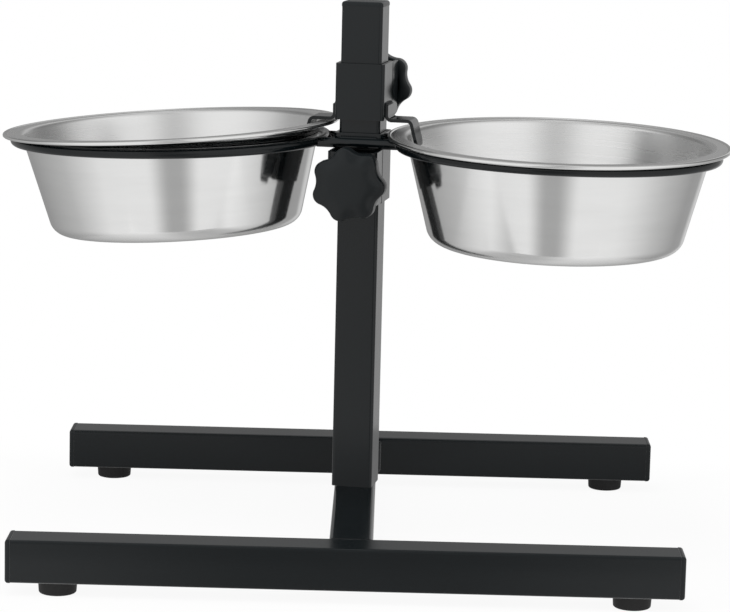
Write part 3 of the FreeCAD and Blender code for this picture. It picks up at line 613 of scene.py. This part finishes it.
def offset_corner(before, corner, after, distance):
    """Corner of the line that runs at a distance to the left of a bent line."""
    first = (corner - before).normalized()
    second = (after - corner).normalized()
    mitre = Vector((-first.y - second.y, first.x + second.x)).normalized()
    return corner + mitre * distance / (mitre.x * -first.y + mitre.y * first.x)


print("helpers for bent lines are ready")

# %% [markdown]
# A bowl is pressed from sheet of one thickness, so its outside and its inside are one line drawn twice.
# The middle line of the sheet is given, and both faces run half a thickness beside it. They could be
# drawn one by one, but then the wall would change its thickness in the bends. The bead is the edge of
# the sheet, rolled to a ring so that it doesn't cut.

# %% Section of a bowl, in millimetres
MOUTH, FLANGE, BASE, DEPTH, SHEET = 92.0, 11.4, 75.5, 64.4, 0.8
BASE_BEND, RIM_BEND, BEAD, FLANGE_FALL = 10.0, 3.2, 1.2, 0.6
BASE_STEPS, OUTER_RIM_STEPS, INNER_RIM_STEPS, BEAD_STEPS = 16, 10, 12, 18
BEAD_START, BEAD_SWEEP = math.radians(-150), math.radians(300)
UNDER_BEAD, OVER_BEAD = 0.7, 1.1


def bowl_section():
    """Outline of the sheet from the middle of the underside to the middle inside, and where inside starts."""
    half = SHEET / 2
    floor_z, flange_z = half - DEPTH, -half
    bead_x, bead_z = MOUTH + FLANGE - BEAD, flange_z - FLANGE_FALL
    corners = ((0, floor_z), (BASE, floor_z), (MOUTH, flange_z), (bead_x, bead_z))
    middle = [Vector(corner) for corner in corners]
    under_base = offset_corner(*middle[0:3], -half)
    under_rim = offset_corner(*middle[1:4], -half)
    inner_base = offset_corner(*middle[0:3], half)
    inner_rim = offset_corner(*middle[1:4], half)
    outside = rounded_line([
        (0, -DEPTH, 0, 0), (BASE / 2, -DEPTH, 0, 0),
        (*under_base, BASE_BEND + half, BASE_STEPS),
        (*under_rim, RIM_BEND - half, OUTER_RIM_STEPS),
        (bead_x - BEAD * UNDER_BEAD, bead_z - half, 0, 0),
    ])
    bead = []
    for k in range(BEAD_STEPS + 1):
        angle = BEAD_START + BEAD_SWEEP * k / BEAD_STEPS
        bead.append(Vector((bead_x + BEAD * math.cos(angle), -BEAD + BEAD * math.sin(angle))))
    inside = rounded_line([
        (bead_x - BEAD * OVER_BEAD, bead_z + half, 0, 0),
        (*inner_rim, RIM_BEND + half, INNER_RIM_STEPS),
        (*inner_base, BASE_BEND - half, BASE_STEPS),
        (BASE / 2, SHEET - DEPTH, 0, 0), (0, SHEET - DEPTH, 0, 0),
    ])
    return outside + bead + inside, len(outside + bead)


section, first_inside = bowl_section()
print("bowl section of", len(section), "points")

# %% [markdown]
# Bowls, knobs and studs are all built from rings of points, and all end as an object with a mesh. The
# Add menu's circles and cylinders could be edited instead, but plain points are easier to shape.


# %% Helpers for meshes
def new_piece(name, shell, *materials):
    """Object in the scene made from a finished bmesh."""
    mesh = bpy.data.meshes.new(name)
    shell.to_mesh(mesh)
    shell.free()
    for material in materials:
        mesh.materials.append(material)
    piece = bpy.data.objects.new(name, mesh)
    bpy.context.scene.collection.objects.link(piece)
    return piece


def ring_points(count, radius, height):
    """Points of a level ring, whose radius is a number or a function of the angle."""
    ring = []
    for k in range(count):
        angle = 2 * math.pi * k / count
        reach = radius(angle) if callable(radius) else radius
        ring.append(Vector((reach * math.cos(angle), reach * math.sin(angle), height)))
    return ring


print("helpers for meshes are ready")

# %% [markdown]
# Spinning forms the sheet about one axis, and so does this lathe. It makes a ring of points for each
# point of the section, joins the rings with faces and notes how far round and how far along each corner
# is. Faces up to the bead get the first finish and those after it the second, so no seam can slip.

# %% Lathe
ON_AXIS = 1e-6


def lathe(name, section, segments, place, materials, first_inside):
    """Closed turned mesh with a texture coordinate round it and along its section, and two finishes."""
    shell = bmesh.new()
    rings = []
    for x, z in section:
        points = ring_points(segments, x, z) if x > ON_AXIS else [Vector((0, 0, z))]
        rings.append([shell.verts.new(place @ (point * MM)) for point in points])
    walked = [0.0]
    for first, second in zip(section, section[1:]):
        walked.append(walked[-1] + (second - first).length)
    layer = shell.loops.layers.uv.new("turning")
    for i, (low, high) in enumerate(zip(rings, rings[1:])):
        for k in range(segments):
            following = (k + 1) % segments
            corners = [(low, k, i), (low, following, i), (high, following, i + 1), (high, k, i + 1)]
            if len(low) == 1:
                corners = [(low, 0, i), (high, following, i + 1), (high, k, i + 1)]
            if len(high) == 1:
                corners = [(low, k, i), (low, following, i), (high, 0, i + 1)]
            face = shell.faces.new([ring[j] for ring, j, row in corners])
            face.smooth = True
            face.material_index = int(i >= first_inside)
            for loop, (ring, j, row) in zip(face.loops, corners):
                turn = k + 1 if j == following else k
                loop[layer].uv = (turn / segments, walked[row] / walked[-1])
    shell.normal_update()
    bmesh.ops.recalc_face_normals(shell, faces=shell.faces)
    return new_piece(name, shell, *materials)


print("lathe is ready")

# %% [markdown]
# The bowls hang in the hoops by their rims and are never quite level: both lean outwards a little, and
# one nods as well. Turning the objects would work too, but then every later step would have to undo the
# turn, so the lean goes into the mesh. Each rim is then lifted to the height of the solid model's rim.

# %% Bowls in place
MAST_ANGLE, MAST_SETBACK, HOOP_OFFSET = math.radians(9.9), 6.0, 120.0
BOWL_SEGMENTS = 160
mast = Matrix.Translation((0, MAST_SETBACK * MM, 0)) @ Matrix.Rotation(-MAST_ANGLE, 4, "Z")
# Side of the mast, then the lean to that side and the nod to the front in degrees
bowl_facts = {"left": (-1, 4.0, 0.0), "right": (1, 0.9, 1.4)}
steels = (finishes["bowl_steel"], satin_steel)
for side_name, (side, lean, nod) in bowl_facts.items():
    rim_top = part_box(side_name + "_bowl")[1].z
    tilt = Matrix.Rotation(math.radians(side * lean), 4, "Y") @ Matrix.Rotation(math.radians(nod), 4, "X")
    place = mast @ Matrix.Translation((side * HOOP_OFFSET * MM, 0, 0)) @ tilt
    piece = lathe(side_name + "_spun_bowl", section, BOWL_SEGMENTS, place, steels, first_inside)
    top = max(vertex.co.z for vertex in piece.data.vertices)
    for vertex in piece.data.vertices:
        vertex.co.z += rim_top - top
    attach(piece, side_name + "_dish")
    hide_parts(side_name + "_bowl")
    print(piece.name, len(piece.data.polygons), "faces, rim top", round(rim_top / MM, 2))

# %% [markdown]
# ## Knobs
# Both clamping screws have a moulded star knob with seven lobes. A star could be cut from a block, but
# a moulding has no sharp edge, so each knob is a stack of rings instead: the lower rings round the hub
# and the hollow back, the star itself with rolled edges, and rings that ease from the star to a round
# crown in the middle of the face.

# %% Star outline, in millimetres
LOBES, LOBE_TIP, LOBE_RADIUS, VALLEY_DEPTH = 7, 22.4, 6.2, 3.0
LOBE_OUT = LOBE_TIP - LOBE_RADIUS
VALLEY_FLOOR = LOBE_TIP - VALLEY_DEPTH
HALF_PITCH = math.pi / LOBES
# The valley's circle touches the lobes' circles, which fixes its radius
floor_to_lobe = LOBE_OUT ** 2 + VALLEY_FLOOR ** 2 - 2 * LOBE_OUT * VALLEY_FLOOR * math.cos(HALF_PITCH)
reach_past_floor = LOBE_RADIUS + LOBE_OUT * math.cos(HALF_PITCH) - VALLEY_FLOOR
VALLEY_RADIUS = (floor_to_lobe - LOBE_RADIUS ** 2) / (2 * reach_past_floor)
VALLEY_OUT = VALLEY_FLOOR + VALLEY_RADIUS
lobe_centre = Vector((LOBE_OUT, 0))
valley_centre = Vector((math.cos(HALF_PITCH), math.sin(HALF_PITCH))) * VALLEY_OUT
meeting = lobe_centre + (valley_centre - lobe_centre).normalized() * LOBE_RADIUS
MEETING_ANGLE = math.atan2(meeting.y, meeting.x)


def chord(out, radius, angle, sign):
    """Distance at which a ray at an angle to a circle's centre line meets that circle."""
    return out * math.cos(angle) + sign * math.sqrt(radius ** 2 - (out * math.sin(angle)) ** 2)


def star_radius(angle):
    """Distance of the star's outline from its middle: round lobes joined by shallow round valleys."""
    from_lobe = abs((angle + HALF_PITCH) % (2 * HALF_PITCH) - HALF_PITCH)
    if from_lobe < MEETING_ANGLE:
        return chord(LOBE_OUT, LOBE_RADIUS, from_lobe, 1)
    return chord(VALLEY_OUT, VALLEY_RADIUS, HALF_PITCH - from_lobe, -1)


print("star of %d lobes, valleys of %.1f mm radius" % (LOBES, VALLEY_RADIUS))

# %% [markdown]
# From the side a knob is a hub for the stud, a hollow back that saves plastic, a skirt to grip and a
# slightly domed face. One list of rings from the socket to the crown draws all of it. A Bevel modifier
# could soften the corners, but a few more rings beside each corner do it evenly round every lobe.

# %% Rings of a knob, in millimetres
KNOB_POINTS = 24 * LOBES
SOCKET, HUB, HOLLOW, HOLLOW_DEPTH, SOCKET_DEPTH = 4.05, 7.5, 15.0, 7.0, 10.0
CROWN, CROWN_FLAT, KNOB_SKIRT, KNOB_THICK = 11.0, 0.6, 10.6, 13.0
FACE_INSET, FACE_RISE, FACE_STEPS, FACE_SWELL, CROWN_DROP = 2.2, 0.5, 7, 0.22, 0.55


def round_ring(radius, height):
    """Plain ring with as many points as the star."""
    return ring_points(KNOB_POINTS, radius, height)


def star_ring(inset, height, rounding=0.0):
    """Ring along the star, pulled in by an inset and eased to the crown's circle by a rounding."""
    def outline(angle):
        return (star_radius(angle) - inset) * (1 - rounding) + CROWN * rounding
    return ring_points(KNOB_POINTS, outline, height)


# From the socket over the hub and through the hollow back, then up the star, with softened corners
knob_rings = [[Vector((0, 0, SOCKET_DEPTH))]]
for radius, height in (
        (SOCKET, SOCKET_DEPTH), (SOCKET, 0.4), (SOCKET + 0.4, 0),
        (HUB - 0.5, 0), (HUB - 0.1, 0.1), (HUB, 0.5),
        (HUB, HOLLOW_DEPTH - 0.8), (HUB + 0.25, HOLLOW_DEPTH - 0.2), (HUB + 0.8, HOLLOW_DEPTH),
        (HOLLOW - 0.8, HOLLOW_DEPTH), (HOLLOW - 0.2, HOLLOW_DEPTH - 0.2), (HOLLOW, HOLLOW_DEPTH - 0.8),
        (HOLLOW, 0.5), (HOLLOW + 0.15, 0.1), (HOLLOW + 0.5, 0)):
    knob_rings.append(round_ring(radius, height))
for inset, height in (
        (1.2, 0), (0.55, 0.12), (0.12, 0.55), (0, 1.2), (0, KNOB_SKIRT - 1.5), (0.1, KNOB_SKIRT - 0.8),
        (0.45, KNOB_SKIRT - 0.15), (1.1, KNOB_SKIRT + 0.25), (FACE_INSET, KNOB_SKIRT + FACE_RISE)):
    knob_rings.append(star_ring(inset, height))
for k in range(1, FACE_STEPS + 1):
    share = k / FACE_STEPS
    rise = (KNOB_THICK - KNOB_SKIRT - CROWN_DROP) * (share + FACE_SWELL * math.sin(math.pi * share))
    knob_rings.append(star_ring(FACE_INSET, KNOB_SKIRT + FACE_RISE + rise, share))
knob_rings += [round_ring(CROWN * CROWN_FLAT, KNOB_THICK), [Vector((0, 0, KNOB_THICK))]]
print("knob of", len(knob_rings), "rings")

# %% [markdown]
# One knob is in front of the post and one behind it, both on an axis through the post's middle. Linked
# copies would share a mesh, but each knob turns on a body of its own, so each gets its own mesh, with
# its first lobe where the photograph shows it.


# %% Knobs in place
def skin_rings(name, rings, place, material):
    """Smooth mesh over rings of equally many points, given in millimetres; a ring may be one point."""
    shell = bmesh.new()
    rows = [[shell.verts.new(place @ (point * MM)) for point in ring] for ring in rings]
    for low, high in zip(rows, rows[1:]):
        count = max(len(low), len(high))
        for k in range(count):
            j = (k + 1) % count
            if len(low) == 1:
                corners = [low[0], high[j], high[k]]
            elif len(high) == 1:
                corners = [low[k], low[j], high[0]]
            else:
                corners = [low[k], low[j], high[j], high[k]]
            shell.faces.new(corners).smooth = True
    bmesh.ops.recalc_face_normals(shell, faces=shell.faces)
    return new_piece(name, shell, material)


def knob_axis(outward, level, out):
    """Place on the mast, at a level and a distance out, whose Z axis points outwards."""
    facing = Matrix.Rotation(math.radians(-90 * outward), 4, "X")
    return mast @ Matrix.Translation((0, outward * out * MM, level * MM)) @ facing


KNOB_OUT = 36.6
# Front or back of the mast, height, and the angle of the first lobe in degrees
knob_facts = {"carrier": (-1, 223.6, -3.0), "clamp": (1, 276.43, -90.0)}
for holder, (outward, level, first_lobe) in knob_facts.items():
    place = knob_axis(outward, level, KNOB_OUT) @ Matrix.Rotation(math.radians(first_lobe), 4, "Z")
    knob = skin_rings(holder + "_star_knob", knob_rings, place, finishes["black_plastic"])
    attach(knob, holder + "_grip")
    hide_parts(holder + "_knob")
    print(knob.name, len(knob.data.polygons), "faces")

# %% [markdown]
# ## Threads
# Each knob turns a zinc-plated stud. Between the bracket and the sleeve the stud is bare, so its
# thread shows. A screw modifier could wind it, but a grid is simpler: every point on a cylinder moves
# in or out by how far it lies from the crest of the helix that passes it.

# %% Threaded studs, in millimetres
STUD_RADIUS, STUD_START, STUD_END = 4.0, 12.8, 46.5
THREAD_PITCH, THREAD_DEPTH, CREST_STEEPNESS = 1.25, 0.65, 1.15
TAPER_LENGTH, TAPER_DEPTH = 1.2, 0.8
AROUND, STEPS_PER_TURN = 28, 7


def thread_ring(height):
    """Ring of a stud that dips where the thread's groove passes and tapers at both ends."""
    end_share = min(1.0, min(height - STUD_START, STUD_END - height) / TAPER_LENGTH)

    def outline(angle):
        from_crest = abs((height / THREAD_PITCH - angle / (2 * math.pi)) % 1.0 - 0.5) * 2
        groove = THREAD_DEPTH * (1 - min(1.0, CREST_STEEPNESS * from_crest))
        return STUD_RADIUS - groove - TAPER_DEPTH * (1 - end_share)
    return ring_points(AROUND, outline, height)


steps = int((STUD_END - STUD_START) / THREAD_PITCH * STEPS_PER_TURN)
thread_rings = [[Vector((0, 0, STUD_START))]]
for i in range(steps + 1):
    thread_rings.append(thread_ring(STUD_START + (STUD_END - STUD_START) * i / steps))
thread_rings.append([Vector((0, 0, STUD_END))])
for holder, (outward, level, _) in knob_facts.items():
    place = knob_axis(outward, level, 0)
    rod = skin_rings(holder + "_threaded_stud", thread_rings, place, finishes["zinc_steel"])
    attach(rod, holder + "_grip")
    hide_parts(holder + "_stud")
print("studs with", steps // STEPS_PER_TURN, "turns of thread each")

# %% [markdown]
# ## Welds
# The tubes and bars are welded before they are coated, so the paint runs over rippled beads. Each bead
# fills a corner: two legs lie on the two metals and a slightly swollen face joins them. The ripples are
# crescents, because the pool of metal freezes from its edges while the torch moves on. A bump in the
# paint could hint at them, but a weld shows in the outline of the corner, so it is a mesh.

# %% Weld beads
RING_STEP, FACE_POINTS = 0.35, 8
END_LENGTH, END_START = 0.7, 0.25
CRESCENT, SWELL, RIPPLE_HEIGHT = 0.45, 0.22, 0.121


def weld_bead(root_start, root_end, leg_a, leg_b, ripple=1.7):
    """Rings of one bead along a corner, each from the root round the first leg to the second."""
    start, end = Vector(root_start), Vector(root_end)
    leg_a, leg_b = Vector(leg_a), Vector(leg_b)
    run = end - start
    size = (leg_a.length + leg_b.length) / 2
    outwards = (leg_a + leg_b).normalized()
    count = int(run.length / RING_STEP)
    rings = [[start]]
    for i in range(count + 1):
        walked = run.length * i / count
        near_end = min(1.0, (min(walked, run.length - walked) + END_START) / (END_LENGTH * size))
        fullness = math.sqrt(1 - (1 - near_end) ** 2)
        root = start + run * i / count
        ring = [root]
        for k in range(FACE_POINTS + 1):
            share = k / FACE_POINTS
            arch = math.sin(math.pi * share)
            swell = SWELL + RIPPLE_HEIGHT * math.cos(2 * math.pi * (walked / ripple - CRESCENT * arch))
            point = leg_a * (1 - share) + leg_b * share + outwards * size * swell * arch
            ring.append(root + point * fullness)
        rings.append(ring)
    rings.append([end])
    return rings


print("beads have a ring every", RING_STEP, "mm")

# %% [markdown]
# A joint has several beads, but on the real stand they are one weld under one coat, so they become one
# piece. The Join operator would need a selection, so the meshes are poured into one bmesh instead.


# %% Beads of one joint
def welded(name, beads, place, body):
    """All beads of one joint as one painted piece on a body."""
    whole = bmesh.new()
    for bead in beads:
        piece = skin_rings("bead", bead, place, finishes["black_paint"])
        whole.from_mesh(piece.data)
        bpy.data.objects.remove(piece)
    weld = new_piece(name, whole, finishes["black_paint"])
    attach(weld, body)
    print(weld.name, len(beads), "beads")
    return weld


print("welds are ready, in", finishes["black_paint"].name)

# %% [markdown]
# The connecting bar meets each crossbar in two upright corners. The solid model has plain fillets there,
# so the rippled beads take their place and height from them and replace them.

# %% Beads on the base, in millimetres
TUBE_HALF, WELD_LEG = 12.5, 2.9
for end_name, inward in (("front", 1), ("rear", -1)):
    low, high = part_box(end_name + "_welds")
    corner = (low.y if inward > 0 else high.y) / MM
    beads = []
    for side in (-1, 1):
        foot = (side * TUBE_HALF, corner, low.z / MM)
        head = (side * TUBE_HALF, corner, high.z / MM)
        beads.append(weld_bead(foot, head, (side * WELD_LEG, 0, 0), (0, inward * WELD_LEG, 0)))
    weld = welded(end_name + "_weld_beads", beads, Matrix.Identity(4), "base")
    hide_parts(end_name + "_welds")

# %% [markdown]
# Tie bars and hooks are thinner than the tubes, so their beads are smaller, with closer ripples. They are
# too fine for the solid model. They ride on the sleeves, to which the bars and hooks are welded.

# %% Small beads on the sleeves, in millimetres
SLEEVE_HALF, TIE_LEVEL, TIE_INSET = 15.0, 245.7, 2.5
TIE_LEG, TIE_OUT, TIE_RISE, TIE_RIPPLE = 3.2, 2.4, 2.95, 1.4
HOOK_HALF, HOOK_LEG, HOOK_RIPPLE = 8.5, 1.6, 1.2
tie_beads = []
for outward in (-1, 1):
    for up in (-1, 1):
        ends = [(side * (SLEEVE_HALF - TIE_INSET), outward * SLEEVE_HALF, TIE_LEVEL) for side in (-1, 1)]
        legs = (0, 0, up * TIE_LEG), (0, outward * TIE_OUT, up * TIE_RISE)
        tie_beads.append(weld_bead(*ends, *legs, ripple=TIE_RIPPLE))
welded("tie_bar_weld_beads", tie_beads, mast, "carrier")
hook_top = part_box("right_hook")[1].z / MM
hook_beads = []
for side in (-1, 1):
    ends = [(side * SLEEVE_HALF, reach, hook_top) for reach in (-HOOK_HALF, HOOK_HALF)]
    hook_beads.append(weld_bead(*ends, (side * HOOK_LEG, 0, 0), (0, 0, HOOK_LEG), ripple=HOOK_RIPPLE))
welded("hook_weld_beads", hook_beads, mast, "clamp")
